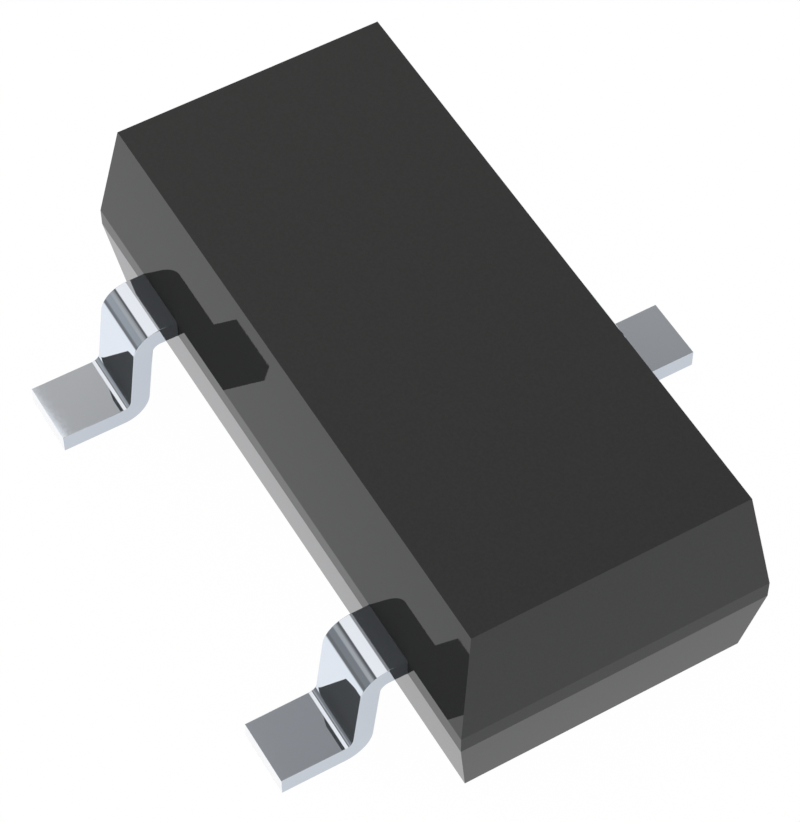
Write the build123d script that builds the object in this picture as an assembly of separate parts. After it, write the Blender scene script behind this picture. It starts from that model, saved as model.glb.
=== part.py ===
from build123d import *
from math import atan2, degrees, hypot, radians, tan
import os

# A moulded surface-mount diode package with three gull-wing leads, in millimetres and degrees.
# The origin lies on the board under the middle of the body. X runs along the body, leads 1 and 2
# leave it towards -Y, lead 3 leaves it towards +Y, and Z points up from the board.

# Moulded body
body_length = 3.00
body_width = 1.40
body_top = 1.05
body_clearance = 0.036  # from the board to the body's flat underside
body_draft = 8.85  # lean of every side wall, away from the parting band

# Formed leads
lead_level = 0.425  # underside of the flat lead frame, which is also the foot of the parting band
lead_thickness = 0.09
lead_width = 0.30
lead_pitch = 1.90  # between leads 1 and 2
lead_span = 2.536  # over the tips of both rows of feet
shoulder_length = 0.157  # from the body to the corner that the shoulder and riser would meet in
riser_lean = 7.0
bend_radius = 0.038  # inside both bends

# Lead frame inside the body
post_length = 0.54
post_width = 0.46
post_end_cover = 0.32  # moulding between a bonding post and the end of the body
post_side_cover = 0.13  # moulding between a bonding post and the long side of the body
frame_gap = 0.14  # between the chip flag and each bonding post
flag_border = 0.05  # flag left bare around the adhesive
flag_shift = 0.08  # middle of the chip and its flag, towards lead 3
frame_corner_radius = 0.04

# Chip
attach_thickness = 0.015
attach_margin = 0.02  # adhesive squeezed out around the chip
die_side = 0.52
die_thickness = 0.15
pad_thickness = 0.006
pad_margin = 0.08  # chip left bare around its two pads
pad_gap = 0.08  # between the two pads

# Bond wires
wire_diameter = 0.038
ball_diameter = 0.092
ball_height = 0.022
ball_chamfer = 0.006
neck_diameter = 0.062  # widest part of the cone that joins the ball to the wire
neck_height = 0.018
loop_height = 0.13  # middle of the wire, above the pad
loop_flat = 0.18  # level run before the wire falls towards its post
loop_start_radius = 0.045
loop_fall_radius = 0.16
landing_length = 0.14  # last run of the wire, which comes down on its post
landing_rise = 0.035
landing_radius = 0.20
stitch_length = 0.12
stitch_width = 0.076
stitch_thickness = 0.012
stitch_inset = 0.19  # from the two inner edges of the post to the end of the wire

# Places worked out from the sizes above
side_wall = body_width / 2
frame_top = lead_level + lead_thickness
outer_lead_x = lead_pitch / 2
post_outer_x = body_length / 2 - post_end_cover
post_inner_x = post_outer_x - post_length
post_inner_y = post_side_cover + post_width - side_wall
flag_length = 2 * (post_inner_x - frame_gap)
flag_width = die_side + 2 * (attach_margin + flag_border)
attach_top = frame_top + attach_thickness
die_top = attach_top + die_thickness
pad_top = die_top + pad_thickness
pad_width = die_side - 2 * pad_margin
pad_length = (pad_width - pad_gap) / 2
pad_x = (pad_gap + pad_length) / 2
stitch_x = post_inner_x + stitch_inset
stitch_y = post_inner_y - stitch_inset


def box_on(level, height, length, width, middle_x=0.0, middle_y=0.0):
    """A flat-bottomed block that stands on a level."""
    outline = Pos(middle_x, middle_y) * Rectangle(length, width)
    return extrude(Plane.XY.offset(level) * outline, height)


def drafted_half(start, end):
    """The half of the moulding between the parting band and a flat outer face."""
    inset = abs(end - start) * tan(radians(body_draft))
    at_band = Plane.XY.offset(start) * Rectangle(body_length, body_width)
    outer_face = Rectangle(body_length - 2 * inset, body_width - 2 * inset)
    return loft([at_band, Plane.XY.offset(end) * outer_face])


def moulding_block():
    """The whole moulding, before the frame, chip and wires take their space in it."""
    band = box_on(lead_level, lead_thickness, body_length, body_width)
    upper = drafted_half(frame_top, body_top)
    lower = drafted_half(lead_level, body_clearance)
    return band + upper + lower


def gull_wing(middle_x):
    """The bare end of a lead, formed towards -Y: its shoulder, riser and foot."""
    shoulder_z = lead_level + lead_thickness / 2
    foot_z = lead_thickness / 2
    shoulder_y = -side_wall - shoulder_length
    heel_y = shoulder_y - (shoulder_z - foot_z) * tan(radians(riser_lean))
    middle_line = FilletPolyline(
        (-side_wall, shoulder_z),
        (shoulder_y, shoulder_z),
        (heel_y, foot_z),
        (-lead_span / 2, foot_z),
        radius=bend_radius + lead_thickness / 2,
    )
    side_view = Plane.YZ * trace(middle_line, lead_thickness)
    return Pos(middle_x, 0, 0) * extrude(side_view, lead_width / 2, both=True)


def frame_plate(wide_part, neck):
    """The flat end of a lead inside the moulding, with its free corners rounded."""
    rounded = fillet(wide_part.vertices(), frame_corner_radius)
    return extrude(Plane.XY.offset(lead_level) * (rounded + neck), lead_thickness)


def outer_lead(side):
    """Lead 1 (side -1) or lead 2 (side +1), which ends in a bonding post."""
    post_middle_x = side * (post_inner_x + post_outer_x) / 2
    post_middle_y = post_inner_y - post_width / 2
    post = Pos(post_middle_x, post_middle_y) * Rectangle(post_length, post_width)
    neck_length = post_middle_y + side_wall
    neck_middle_y = neck_length / 2 - side_wall
    neck = Pos(side * outer_lead_x, neck_middle_y) * Rectangle(lead_width, neck_length)
    return gull_wing(side * outer_lead_x) + frame_plate(post, neck)


def common_lead():
    """Lead 3, which ends in the flag that carries the chip."""
    flag = Pos(0, flag_shift) * Rectangle(flag_length, flag_width)
    neck_length = side_wall - flag_shift
    neck = Pos(0, side_wall - neck_length / 2) * Rectangle(lead_width, neck_length)
    return Rot(0, 0, 180) * gull_wing(0) + frame_plate(flag, neck)


def die_attach():
    """The thin bed of adhesive between the flag and the chip."""
    side = die_side + 2 * attach_margin
    return box_on(frame_top, attach_thickness, side, side, 0, flag_shift)


def silicon_die():
    """The chip, which holds both protection diodes."""
    return box_on(attach_top, die_thickness, die_side, die_side, 0, flag_shift)


def bond_pad(side):
    """One of the chip's two metal pads."""
    return box_on(die_top, pad_thickness, pad_length, pad_width, side * pad_x, flag_shift)


def bond_wire():
    """A ball, loop and stitch in one piece, in a plane of its own that runs from the pad along X.

    Its heights are those of the package, and the middle of its ball is at x = 0, y = 0.
    """
    reach = hypot(stitch_x - pad_x, stitch_y - flag_shift)
    neck_top = pad_top + ball_height + neck_height
    loop_top = pad_top + loop_height
    middle_line = FilletPolyline(
        (0, neck_top),
        (0, loop_top),
        (loop_flat, loop_top),
        (reach - landing_length, frame_top + landing_rise),
        (reach, frame_top),
        radius=[loop_start_radius, loop_fall_radius, landing_radius],
    )
    loop_start = Plane.XY.offset(neck_top) * Circle(wire_diameter / 2)
    loop = sweep(loop_start, path=Plane.XZ * middle_line)
    ball = extrude(Plane.XY.offset(pad_top) * Circle(ball_diameter / 2), ball_height)
    ball = chamfer(ball.edges().filter_by(GeomType.CIRCLE), ball_chamfer)
    neck_middle = neck_top - neck_height / 2
    neck = Pos(0, 0, neck_middle) * Cone(neck_diameter / 2, wire_diameter / 2, neck_height)
    stitch_outline = Pos(reach, 0) * Ellipse(stitch_length / 2, stitch_width / 2)
    stitch = extrude(Plane.XY.offset(frame_top) * stitch_outline, stitch_thickness)
    above_post = box_on(frame_top, body_top - frame_top, 3 * reach, body_width)
    return (ball + neck + loop + stitch) & above_post


def bonded_wire(side):
    """The wire from one pad to its post, on the -X or +X side."""
    heading = degrees(atan2(stitch_y - flag_shift, side * (stitch_x - pad_x)))
    return Pos(side * pad_x, flag_shift, 0) * Rot(0, 0, heading) * bond_wire()


inner_pieces = {
    "lead_1": outer_lead(-1),
    "lead_2": outer_lead(1),
    "lead_3": common_lead(),
    "die_attach": die_attach(),
    "silicon_die": silicon_die(),
    "bond_pad_1": bond_pad(-1),
    "bond_pad_2": bond_pad(1),
    "bond_wire_1": bonded_wire(-1),
    "bond_wire_2": bonded_wire(1),
}
moulded_body = moulding_block()
for piece in inner_pieces.values():
    moulded_body -= piece

os.makedirs("parts", exist_ok=True)
for name, piece in {"moulded_body": moulded_body, **inner_pieces}.items():
    export_step(piece, f"parts/{name}.step")
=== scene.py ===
from math import cos, pi, radians, sin, tan

import bmesh
import bpy
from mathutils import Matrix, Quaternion, Vector


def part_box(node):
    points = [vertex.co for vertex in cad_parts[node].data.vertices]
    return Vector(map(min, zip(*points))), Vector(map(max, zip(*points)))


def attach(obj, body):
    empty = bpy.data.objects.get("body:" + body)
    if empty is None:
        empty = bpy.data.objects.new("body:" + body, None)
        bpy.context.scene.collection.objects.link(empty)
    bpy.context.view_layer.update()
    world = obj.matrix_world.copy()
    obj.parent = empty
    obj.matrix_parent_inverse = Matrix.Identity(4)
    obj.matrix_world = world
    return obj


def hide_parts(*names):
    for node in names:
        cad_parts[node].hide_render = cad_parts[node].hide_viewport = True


# Surface-mount TVS diode. X runs along the body, leads 1 and 2 leave it towards -Y and lead 3
# towards +Y, and Z points up from the board.
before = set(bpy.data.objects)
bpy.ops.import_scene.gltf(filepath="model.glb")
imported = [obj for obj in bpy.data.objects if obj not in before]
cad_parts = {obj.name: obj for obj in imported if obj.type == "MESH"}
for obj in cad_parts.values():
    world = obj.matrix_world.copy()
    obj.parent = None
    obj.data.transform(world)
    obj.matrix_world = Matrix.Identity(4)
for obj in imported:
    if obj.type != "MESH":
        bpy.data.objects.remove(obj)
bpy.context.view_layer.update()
mm = 0.001  # one millimetre in metres
quarterTurn = pi / 2
print("frame loaded:", ", ".join(sorted(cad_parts)))


# Small helpers for node trees

def addNode(tree, kind, inputs=None, **settings):
    # inputs maps a socket's name or number to a value, or to another node's output
    node = tree.nodes.new(kind)
    for name, value in settings.items():
        setattr(node, name, value)
    for name, value in (inputs or {}).items():
        if isinstance(value, bpy.types.NodeSocket):
            tree.links.new(value, node.inputs[name])
        else:
            node.inputs[name].default_value = value
    return node


def calc(tree, operation, *values):
    inputs = dict(enumerate(values))
    return addNode(tree, "ShaderNodeMath", inputs, operation=operation).outputs[0]


def rise(tree, value, start, end):
    # 0 at start and 1 at end, with a soft change in between; end may be the lower of the two
    inputs = {"Value": value, "From Min": start, "From Max": end}
    node = addNode(tree, "ShaderNodeMapRange", inputs, interpolation_type="SMOOTHSTEP")
    return node.outputs["Result"]


def between(tree, factor, low, high):
    # the value that lies factor of the way from low to high
    inputs = {"Value": factor, "To Min": low, "To Max": high}
    return addNode(tree, "ShaderNodeMapRange", inputs).outputs["Result"]


def mixNumber(tree, factor, first, second):
    inputs = {0: factor, 2: first, 3: second}
    return addNode(tree, "ShaderNodeMix", inputs, data_type="FLOAT").outputs[0]


def grey(value):
    return (value, value, value)


def opaque(colour):
    return (*colour, 1.0)


def mixColour(tree, factor, first, second):
    # first and second are colours, or outputs of other nodes
    first, second = (opaque(c) if isinstance(c, tuple) else c for c in (first, second))
    inputs = {0: factor, 6: first, 7: second}
    return addNode(tree, "ShaderNodeMix", inputs, data_type="RGBA").outputs[2]


# Effects shared by the materials

def newGroup(name, inputs, outputs):
    group = bpy.data.node_groups.new(name, "ShaderNodeTree")
    for socket, value in inputs.items():
        made = group.interface.new_socket(name=socket, in_out="INPUT", socket_type="NodeSocketFloat")
        made.default_value = value
    for socket in outputs:
        group.interface.new_socket(name=socket, in_out="OUTPUT", socket_type="NodeSocketFloat")
    return group, group.nodes.new("NodeGroupInput"), group.nodes.new("NodeGroupOutput")


speckleForm = {
    "inputs": {"Grains per mm": 60.0, "Sharpness": 0.5},
    "detail": 3.0,
    "gather": 0.6,  # how far a sharpness of 1 moves both ends of the change inwards
}


def buildSpeckle():
    # fine grains of one size, as of filler in a moulding or crystals in a plating
    form = speckleForm
    group, given, put = newGroup("speckle", form["inputs"], ["Mask"])
    place = addNode(group, "ShaderNodeTexCoord").outputs["Object"]
    scale = calc(group, "MULTIPLY", given.outputs["Grains per mm"], 1 / mm)
    noiseInputs = {"Vector": place, "Scale": scale, "Detail": form["detail"]}
    noise = addNode(group, "ShaderNodeTexNoise", noiseInputs).outputs["Fac"]
    low = calc(group, "MULTIPLY", given.outputs["Sharpness"], form["gather"])
    high = calc(group, "SUBTRACT", 1.0, low)
    group.links.new(rise(group, noise, low, high), put.inputs["Mask"])
    return group


driftForm = {
    "inputs": {"Waves per mm": 1.5, "Pull": 1.0},
    "detail": 2.0,
    "ends": (0.3, 0.7),  # values of the noise where the mask is 0 and 1
}


def buildDrift():
    # slow change of tone across a surface; a pull below 1 draws it out along X
    form = driftForm
    group, given, put = newGroup("drift", form["inputs"], ["Mask"])
    place = addNode(group, "ShaderNodeTexCoord").outputs["Object"]
    parts = addNode(group, "ShaderNodeSeparateXYZ", {"Vector": place}).outputs
    pulled = calc(group, "MULTIPLY", parts["X"], given.outputs["Pull"])
    joined = {"X": pulled, "Y": parts["Y"], "Z": parts["Z"]}
    place = addNode(group, "ShaderNodeCombineXYZ", joined).outputs["Vector"]
    scale = calc(group, "MULTIPLY", given.outputs["Waves per mm"], 1 / mm)
    noiseInputs = {"Vector": place, "Scale": scale, "Detail": form["detail"]}
    noise = addNode(group, "ShaderNodeTexNoise", noiseInputs).outputs["Fac"]
    group.links.new(rise(group, noise, *form["ends"]), put.inputs["Mask"])
    return group


speckle = buildSpeckle()
drift = buildDrift()
print("shared effects made:", ", ".join(sorted(group.name for group in (speckle, drift))))


def startMaterial(name, plain):
    # plain holds the numbers that are the same all over the surface
    material = bpy.data.materials.new(name)
    material.use_nodes = True
    tree = material.node_tree
    tree.nodes.clear()
    shader = addNode(tree, "ShaderNodeBsdfPrincipled", plain)
    output = addNode(tree, "ShaderNodeOutputMaterial")
    tree.links.new(shader.outputs["BSDF"], output.inputs["Surface"])
    return material, tree, shader


def maskOf(tree, group, inputs):
    return addNode(tree, "ShaderNodeGroup", inputs, node_tree=group).outputs["Mask"]


def grainOf(tree, look):
    return maskOf(tree, speckle, {"Grains per mm": look["grainsPerMm"], "Sharpness": look["sharpness"]})


def feed(tree, output, shader, socket):
    tree.links.new(output, shader.inputs[socket])


def addRelief(tree, shader, height, depth):
    bump = addNode(tree, "ShaderNodeBump", {"Height": height, "Distance": depth * mm, "Strength": 1.0})
    feed(tree, bump.outputs["Normal"], shader, "Normal")


# Materials, with depths in millimetres

mouldFinish = {
    "sideDark": (0.0279, 0.0287, 0.0284), "sideLight": (0.0301, 0.0309, 0.0306),
    "topDark": grey(0.0312), "topLight": grey(0.0337),
    "grainsPerMm": 90.0, "sharpness": 0.6, "wavesPerMm": 1.2, "grainDepth": 0.000003,
    "sideRoughness": (0.015, 0.035), "topRoughness": (0.05, 0.09), "ior": 1.300,
    "topFrom": (0.8, 0.95),  # upward share of a face's normal, from the side finish to the top one
}


def makeMouldCompound():
    look = mouldFinish
    material, tree, shader = startMaterial("mouldCompound", {"IOR": look["ior"]})
    grain = grainOf(tree, look)
    cloud = maskOf(tree, drift, {"Waves per mm": look["wavesPerMm"]})
    normal = addNode(tree, "ShaderNodeTexCoord").outputs["Normal"]
    upward = addNode(tree, "ShaderNodeSeparateXYZ", {"Vector": normal}).outputs["Z"]
    onTop = rise(tree, upward, *look["topFrom"])  # the top is duller, from a finely blasted tool face
    side = mixColour(tree, grain, look["sideDark"], look["sideLight"])
    top = mixColour(tree, grain, look["topDark"], look["topLight"])
    feed(tree, mixColour(tree, onTop, side, top), shader, "Base Color")
    mean = calc(tree, "MULTIPLY", calc(tree, "ADD", grain, cloud), 0.5)
    sideGloss = between(tree, mean, *look["sideRoughness"])
    topGloss = between(tree, mean, *look["topRoughness"])
    feed(tree, mixNumber(tree, onTop, sideGloss, topGloss), shader, "Roughness")
    addRelief(tree, shader, grain, look["grainDepth"])
    return material


tinFinish = {
    "dull": (0.835, 0.903, 0.985), "bright": (0.855, 0.923, 1.000), "metallic": 0.916,
    "grainsPerMm": 70.0, "sharpness": 0.7, "roughness": (0.02, 0.03),
    "wavesPerMm": 4.0, "pull": 0.4,
}


def makeBrightTin():
    look = tinFinish
    material, tree, shader = startMaterial("brightTin", {"Metallic": look["metallic"]})
    grain = grainOf(tree, look)
    cloud = maskOf(tree, drift, {"Waves per mm": look["wavesPerMm"], "Pull": look["pull"]})
    feed(tree, mixColour(tree, cloud, look["dull"], look["bright"]), shader, "Base Color")
    feed(tree, between(tree, grain, *look["roughness"]), shader, "Roughness")
    return material


# The cut ends of the feet, mostly matt where the strip was cropped
shearedFinish = {
    "dull": (0.970, 0.975, 0.990), "bright": (0.990, 0.995, 1.000), "metallic": 0.3,
    "grainsPerMm": 140.0, "sharpness": 0.5, "roughness": (0.12, 0.20),
}


def makeShearedTin():
    look = shearedFinish
    plain = {"Metallic": look["metallic"], "Specular IOR Level": 0.0}
    material, tree, shader = startMaterial("shearedTin", plain)
    grain = grainOf(tree, look)
    feed(tree, mixColour(tree, grain, look["dull"], look["bright"]), shader, "Base Color")
    feed(tree, between(tree, grain, *look["roughness"]), shader, "Roughness")
    return material


# What the moulding hides: adhesive, chip, pads and wires
innerFinish = {
    "silverAdhesive": {
        "dark": (0.30, 0.29, 0.28), "light": (0.72, 0.71, 0.69), "metallic": 0.7,
        "grainsPerMm": 120.0, "sharpness": 0.3, "wavesPerMm": 6.0,
        "roughness": (0.35, 0.6), "depth": 0.001,
    },
    "sawnSilicon": {
        "dark": (0.055, 0.060, 0.075), "light": (0.095, 0.105, 0.130), "metallic": 0.35,
        "grainsPerMm": 40.0, "sharpness": 0.6, "wavesPerMm": 6.0,
        "roughness": (0.12, 0.28), "depth": 0.0002,
    },
    "padAluminium": {
        "dark": (0.78, 0.78, 0.79), "light": (0.90, 0.90, 0.91), "metallic": 1.0,
        "grainsPerMm": 160.0, "sharpness": 0.5, "wavesPerMm": 6.0,
        "roughness": (0.18, 0.32), "depth": 0.0003,
    },
    "drawnGold": {
        "dark": (0.86, 0.60, 0.22), "light": (1.00, 0.77, 0.34), "metallic": 1.0,
        "grainsPerMm": 110.0, "sharpness": 0.7, "wavesPerMm": 6.0,
        "roughness": (0.10, 0.2), "depth": 0.0001,
    },
}


def makeInner(name):
    look = innerFinish[name]
    material, tree, shader = startMaterial(name, {"Metallic": look["metallic"]})
    grain = grainOf(tree, look)
    cloud = maskOf(tree, drift, {"Waves per mm": look["wavesPerMm"]})
    feed(tree, mixColour(tree, grain, look["dark"], look["light"]), shader, "Base Color")
    feed(tree, between(tree, cloud, *look["roughness"]), shader, "Roughness")
    addRelief(tree, shader, grain, look["depth"])
    return material


mouldCompound = makeMouldCompound()
brightTin = makeBrightTin()
shearedTin = makeShearedTin()
innerMaterials = {name: makeInner(name) for name in innerFinish}
print("materials made:", ", ".join(sorted(m.name for m in bpy.data.materials)))


# The CAD nodes that keep their own shape

nodeFinish = {
    "moulded_body": mouldCompound,
    "die_attach": innerMaterials["silverAdhesive"],
    "silicon_die": innerMaterials["sawnSilicon"],
    "bond_pad_1": innerMaterials["padAluminium"],
    "bond_pad_2": innerMaterials["padAluminium"],
    "bond_wire_1": innerMaterials["drawnGold"],
    "bond_wire_2": innerMaterials["drawnGold"],
}

for nodeName, finish in nodeFinish.items():
    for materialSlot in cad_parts[nodeName].material_slots:
        materialSlot.material = finish
print("finishes put on", len(nodeFinish), "CAD nodes")


# The three leads, with smoother bends and exact mirror faces. Sizes are in millimetres. Across is
# along X, and reach runs from the package's middle plane out towards the tip of the foot.

leadForm = {
    "width": 0.30,
    "thickness": 0.09,
    "shoulder": 0.157,  # from the moulding to the corner of the upper bend
    "lean": 7.0,  # of the riser, away from upright, in degrees
    "bendRadius": 0.038,  # inside
    "bendSteps": 28,
    "edgeRadius": 0.003,  # of the plated strip's long edges
    "edgeSteps": 3,
    "edgeStart": 0.01,  # from the moulding to where the long edges have their full radius
    "cornerRadius": 0.04,  # of the free corners inside the moulding
    "cornerSteps": 8,
    "nearWall": 0.005,  # CAD points closer than this to the wall count as neither in nor out
    "samePoint": 0.000001,  # points closer than this are made one
}
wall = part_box("moulded_body")[1].y / mm  # distance from the middle to the moulding's long sides
leadLow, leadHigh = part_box("lead_1")
tipReach = -leadLow.y / mm
frameTop = leadHigh.z / mm


def stripStations():
    # (reach, height, tilt) of the strip's middle line, from the moulding to the tip
    form = leadForm
    half = form["thickness"] / 2
    lean = radians(form["lean"])
    turn = quarterTurn - lean
    bend = form["bendRadius"] + half
    setback = bend * tan(turn / 2)
    topZ, footZ = frameTop - half, half
    shoulder = wall + form["shoulder"]
    heel = shoulder + (topZ - footZ) * tan(lean)
    stations = [(wall, topZ, 0.0), (wall + form["edgeStart"], topZ, 0.0)]
    for step in range(form["bendSteps"] + 1):
        tilt = turn * step / form["bendSteps"]
        stations.append((shoulder - setback + bend * sin(tilt), topZ - bend + bend * cos(tilt), tilt))
    for step in range(form["bendSteps"] + 1):
        tilt = turn * (1 - step / form["bendSteps"])
        stations.append((heel + setback - bend * sin(tilt), footZ + bend - bend * cos(tilt), tilt))
    stations.append((tipReach, footZ, 0.0))
    return stations


def stripSection(edgeRadius):
    # (across, up, normal across, normal up) round the strip's section, from its lower left edge
    form = leadForm
    halfWidth, half = form["width"] / 2, form["thickness"] / 2
    points = []
    for quarter, (acrossSide, upSide) in enumerate([(-1, -1), (1, -1), (1, 1), (-1, 1)]):
        start = pi + quarter * quarterTurn
        for step in range(form["edgeSteps"] + 1):
            angle = start + step / form["edgeSteps"] * quarterTurn
            across = acrossSide * (halfWidth - edgeRadius) + edgeRadius * cos(angle)
            up = upSide * (half - edgeRadius) + edgeRadius * sin(angle)
            points.append((across, up, cos(angle), sin(angle)))
    return points


def cadPoints(name, heading):
    # (across, reach) of each point of a lead's CAD node
    return [(v.co.x / mm, heading * v.co.y / mm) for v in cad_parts[name].data.vertices]


def plateCorners(name, heading):
    # the least and the greatest (across, reach) of the flat part behind the moulding's wall
    inside = [point for point in cadPoints(name, heading) if point[1] < wall - leadForm["nearWall"]]
    acrosses, reaches = zip(*inside)
    return (min(acrosses), min(reaches)), (max(acrosses), max(reaches))


def neckMiddleOf(name, heading):
    limit = wall + leadForm["nearWall"]
    outside = [across for across, reach in cadPoints(name, heading) if reach > limit]
    return (min(outside) + max(outside)) / 2


def plateOutline(low, high, neckMiddle):
    # outline of the flat part with its neck, as (across, reach), from one end of the neck round
    form = leadForm
    radius, steps = form["cornerRadius"], form["cornerSteps"]
    neckLow, neckHigh = neckMiddle - form["width"] / 2, neckMiddle + form["width"] / 2
    (left, back), (right, front) = low, high
    corners = [(left, front), (left, back), (right, back), (right, front)]
    points = [(neckLow, wall), (neckLow, front)]
    for quarter, (across, reach) in enumerate(corners):
        centreAcross = across + (radius if across == left else -radius)
        centreReach = reach + (radius if reach == back else -radius)
        for step in range(steps + 1):
            angle = quarterTurn + quarter * quarterTurn + step / steps * quarterTurn
            points.append((centreAcross + radius * cos(angle), centreReach + radius * sin(angle)))
    points += [(neckHigh, front), (neckHigh, wall)]
    return points


def addStrip(mesh, place, neckMiddle, heading):
    # the bare end of a lead; gives the exact normal at each of its points
    normals, rows = {}, []
    for index, (reach, height, tilt) in enumerate(stripStations()):
        row = []
        edgeRadius = leadForm["edgeRadius"] if index else 0.0  # square where it leaves the moulding
        for across, up, normalAcross, normalUp in stripSection(edgeRadius):
            vertex = place(neckMiddle + across, reach + up * sin(tilt), height + up * cos(tilt))
            normals[vertex] = Vector((normalAcross, heading * normalUp * sin(tilt), normalUp * cos(tilt)))
            row.append(vertex)
        rows.append(row)
    for near, far in zip(rows[:-1], rows[1:]):
        for k in range(len(near)):
            after = (k + 1) % len(near)
            face = mesh.faces.new((near[k], near[after], far[after], far[k]))
            face.smooth = True
    tip = mesh.faces.new(rows[-1])
    tip.material_index = 1
    return normals


def addPlate(mesh, place, outline):
    # the flat part inside the moulding, open where the neck joins the strip
    top = [place(across, reach, frameTop) for across, reach in outline]
    bottom = [place(across, reach, frameTop - leadForm["thickness"]) for across, reach in outline]
    mesh.faces.new(top)
    mesh.faces.new(bottom)
    for k in range(len(outline) - 1):
        mesh.faces.new((top[k], top[k + 1], bottom[k + 1], bottom[k]))


def setNormals(data, exactNormals):
    # smooth faces take the exact normals, and flat ones keep their own
    loopNormals = []
    for polygon in data.polygons:
        for vertexIndex in polygon.vertices:
            exact = exactNormals.get(vertexIndex) if polygon.use_smooth else None
            loopNormals.append(exact if exact else polygon.normal.copy())
    data.normals_split_custom_set(loopNormals)


def buildLead(name, heading):
    # heading is -1 for a lead that runs towards -Y and 1 for one that runs towards +Y
    neckMiddle = neckMiddleOf(name, heading)
    plateLow, plateHigh = plateCorners(name, heading)
    mesh = bmesh.new()

    def place(across, reach, height):
        return mesh.verts.new((across * mm, heading * reach * mm, height * mm))

    normals = addStrip(mesh, place, neckMiddle, heading)
    addPlate(mesh, place, plateOutline(plateLow, plateHigh, neckMiddle))
    bmesh.ops.remove_doubles(mesh, verts=mesh.verts[:], dist=leadForm["samePoint"] * mm)
    bmesh.ops.recalc_face_normals(mesh, faces=mesh.faces[:])
    mesh.verts.index_update()
    exactNormals = {vertex.index: normal for vertex, normal in normals.items() if vertex.is_valid}
    data = bpy.data.meshes.new(name)
    mesh.to_mesh(data)
    mesh.free()
    setNormals(data, exactNormals)
    data.materials.append(brightTin)
    data.materials.append(shearedTin)

    lead = bpy.data.objects.new(name + "_formed", data)
    bpy.context.scene.collection.objects.link(lead)
    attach(lead, "root")
    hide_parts(name)
    return lead


for leadName, heading in {"lead_1": -1, "lead_2": -1, "lead_3": 1}.items():
    lead = buildLead(leadName, heading)
    print("formed", lead.name, "with", len(lead.data.polygons), "faces")


# Floor

floorLook = {
    "halfSize": 250.0,  # mm
    "sink": 0.0005,  # mm below the feet
    "own": 0.985,  # its own glow
    "matt": 0.015,  # share of the studio's light that it gives back
}


def makeFloor():
    look = floorLook
    plain = {
        "Base Color": opaque(grey(look["matt"])), "Roughness": 1.0, "Specular IOR Level": 0.0,
        "Emission Color": opaque(grey(look["own"])), "Emission Strength": 1.0,
    }
    material = startMaterial("paleFloor", plain)[0]
    material.cycles.emission_sampling = "NONE"
    mesh = bmesh.new()
    bmesh.ops.create_grid(mesh, x_segments=1, y_segments=1, size=look["halfSize"] * mm)
    bmesh.ops.translate(mesh, verts=mesh.verts[:], vec=(0, 0, -look["sink"] * mm))
    data = bpy.data.meshes.new("paleFloor")
    mesh.to_mesh(data)
    mesh.free()
    data.materials.append(material)
    floor = bpy.data.objects.new("paleFloor", data)
    bpy.context.scene.collection.objects.link(floor)
    floor.visible_glossy = False  # mirrors see the studio's own floor card instead
    floor.visible_diffuse = False
    floor.visible_shadow = False


makeFloor()
print("floor laid")


# Studio: plain white all round for the eye and for matt surfaces, and soft cards for mirrors.
# Angles are in degrees round the long axis: 0 is overhead and -90 is the horizon towards -Y.
# A card has two edges, from and to, and soft is half the width of the change at each. Later cards
# lie over earlier ones, and mix is how much of those they cover. With both, a card stands on the
# +Y side too. A reach is the share of a direction that points along X, where a card, tint or wall
# starts and where it is full, and lean moves a card's edges towards -Y as that share grows to 1.

studio = {
    "white": 1.0,
    "mapSize": 64,  # a small map is enough to sample so soft a studio
    "wall": ((0.221, 0.217, 0.218), (0.898, 0.824, 0.763)),  # before its reach and past it
    "wallReach": (0.42, 0.83),
    "cards": [
        {"from": -118, "to": -42, "soft": (3.0, 3.0), "glow": (0.130, 0.137, 0.147),
         "mix": 0.85, "both": True},
        {"from": -95, "to": -60, "soft": (5.0, 5.0), "glow": (0.360, 0.380, 0.405),
         "mix": 0.57, "reach": (0.50, 0.58)},
        {"from": -118, "to": -88, "soft": (3.5, 3.5), "glow": grey(0.06), "mix": 0.65, "both": True},
        {"from": -60.5, "to": -45.3, "soft": (3.5, 4.5), "glow": grey(0.39), "mix": 0.85},
        {"from": -41, "to": -32, "soft": (3.0, 3.0), "glow": grey(0.05), "mix": 1.0},
        {"from": 9.0, "to": 17.10, "soft": (3.0, 0.12), "glow": grey(1.0),
         "mix": 1.0, "reach": (0.48, 0.54), "lean": 6.0},
        {"from": -31.4, "to": 12.0, "soft": (1.8, 2.0), "glow": (0.930, 0.890, 0.875), "mix": 1.0},
    ],
    "floorFrom": (100.0, 110.0), "floor": grey(0.70),  # from overhead, on both sides
    "floorTints": [
        {"reach": (-0.05, -0.60), "glow": (0.880, 0.880, 0.896)},
        {"reach": (0.38, 0.46), "glow": (0.612, 0.610, 0.622)},
        {"reach": (0.55, 0.68), "glow": grey(0.815)},
    ],
    # the walls past the body's two ends; turn is the upward share where high gives way to low
    "endWall": {"high": grey(0.45), "low": grey(0.70), "turn": (-0.2, -0.3), "reach": (0.86, 0.95)},
}


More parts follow.
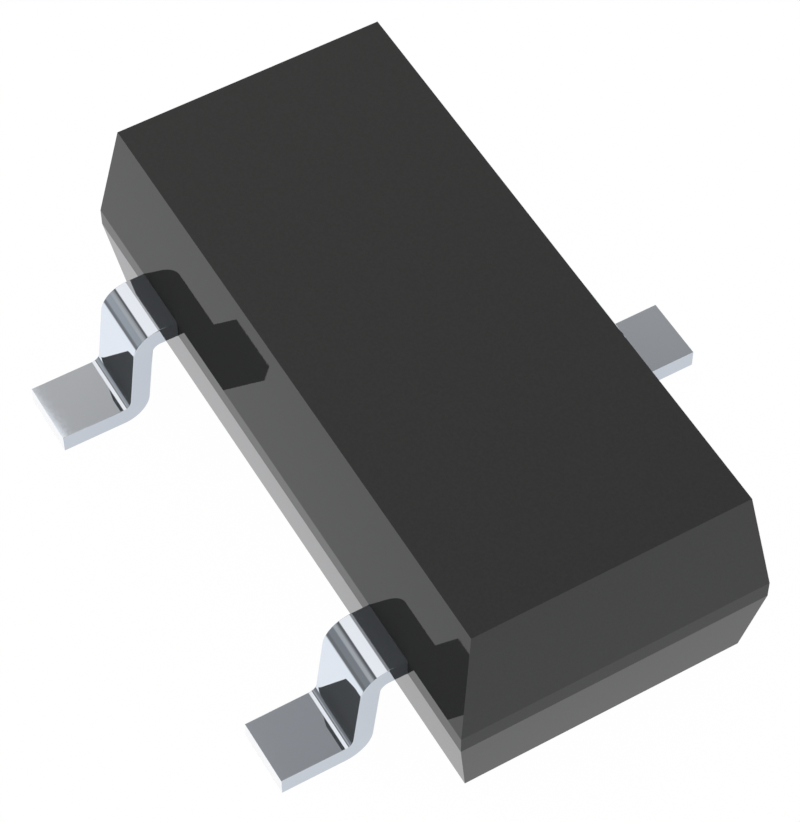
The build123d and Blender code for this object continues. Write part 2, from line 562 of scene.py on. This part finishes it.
def buildStudio():
    look = studio
    world = bpy.data.worlds.new("softStudio")
    bpy.context.scene.world = world
    world.use_nodes = True
    world.cycles.sampling_method = "MANUAL"
    world.cycles.sample_map_resolution = look["mapSize"]
    tree = world.node_tree
    tree.nodes.clear()
    direction = addNode(tree, "ShaderNodeTexCoord").outputs["Generated"]
    axes = addNode(tree, "ShaderNodeSeparateXYZ", {"Vector": direction}).outputs
    sweep = calc(tree, "ARCTAN2", axes["Y"], axes["Z"])
    along = calc(tree, "ABSOLUTE", axes["X"])

    def window(angle, card):
        if "lean" in card:
            angle = calc(tree, "MULTIPLY_ADD", along, radians(card["lean"]), angle)
        start, end = radians(card["from"]), radians(card["to"])
        opening, closing = (radians(soft) for soft in card["soft"])
        opens = rise(tree, angle, start - opening, start + opening)
        closes = rise(tree, angle, end - closing, end + closing)
        return calc(tree, "SUBTRACT", opens, closes)

    light = mixColour(tree, rise(tree, along, *look["wallReach"]), *look["wall"])
    away = calc(tree, "MULTIPLY", calc(tree, "ABSOLUTE", sweep), -1.0)  # the same on both sides
    for card in look["cards"]:
        mask = window(away if card.get("both") else sweep, card)
        if "reach" in card:
            mask = calc(tree, "MULTIPLY", mask, rise(tree, along, *card["reach"]))
        light = mixColour(tree, calc(tree, "MULTIPLY", mask, card["mix"]), light, card["glow"])
    floor = look["floor"]
    for tint in look["floorTints"]:
        floor = mixColour(tree, rise(tree, axes["X"], *tint["reach"]), floor, tint["glow"])
    floorStart, floorEnd = (-radians(angle) for angle in look["floorFrom"])
    light = mixColour(tree, rise(tree, away, floorStart, floorEnd), light, floor)
    ends = look["endWall"]
    endWall = mixColour(tree, rise(tree, axes["Z"], *ends["turn"]), ends["high"], ends["low"])
    light = mixColour(tree, rise(tree, along, *ends["reach"]), light, endWall)

    cards = addNode(tree, "ShaderNodeBackground", {"Color": light})
    plain = addNode(tree, "ShaderNodeBackground", {"Color": opaque(grey(look["white"]))})
    mirror = addNode(tree, "ShaderNodeLightPath").outputs["Is Glossy Ray"]
    inputs = {0: mirror, 1: plain.outputs[0], 2: cards.outputs[0]}
    mixed = addNode(tree, "ShaderNodeMixShader", inputs)
    addNode(tree, "ShaderNodeOutputWorld", {"Surface": mixed.outputs[0]})


buildStudio()
bpy.context.scene.view_settings.view_transform = "Standard"
bpy.context.scene.cycles.glossy_bounces = 0  # mirrors don't show other mirrors, as in the photograph
print("studio lit")


# Camera, at the photograph's angle

cameraLook = {
    "aim": (0.0474, -0.1237, 0.5),  # mm, a point on the lens axis
    "azimuth": 60.021, "elevation": 53.862, "roll": -0.169,  # degrees
    "distance": 12.7297, "lens": 137.263, "sensor": 36.0,  # mm
    "clip": (0.001, 10.0),  # metres
}


def placeCamera():
    look = cameraLook
    azimuth, elevation = radians(look["azimuth"]), radians(look["elevation"])
    back = Vector((sin(azimuth) * cos(elevation), -cos(azimuth) * cos(elevation), sin(elevation)))
    data = bpy.data.cameras.new("photoCamera")
    data.lens, data.sensor_width = look["lens"], look["sensor"]
    data.clip_start, data.clip_end = look["clip"]
    camera = bpy.data.objects.new("photoCamera", data)
    bpy.context.scene.collection.objects.link(camera)
    camera.location = (Vector(look["aim"]) + back * look["distance"]) * mm
    camera.rotation_mode = "QUATERNION"
    turn = Quaternion((0, 0, 1), radians(look["roll"]))
    camera.rotation_quaternion = (-back).to_track_quat("-Z", "Y") @ turn
    bpy.context.scene.camera = camera


placeCamera()
print("camera placed")
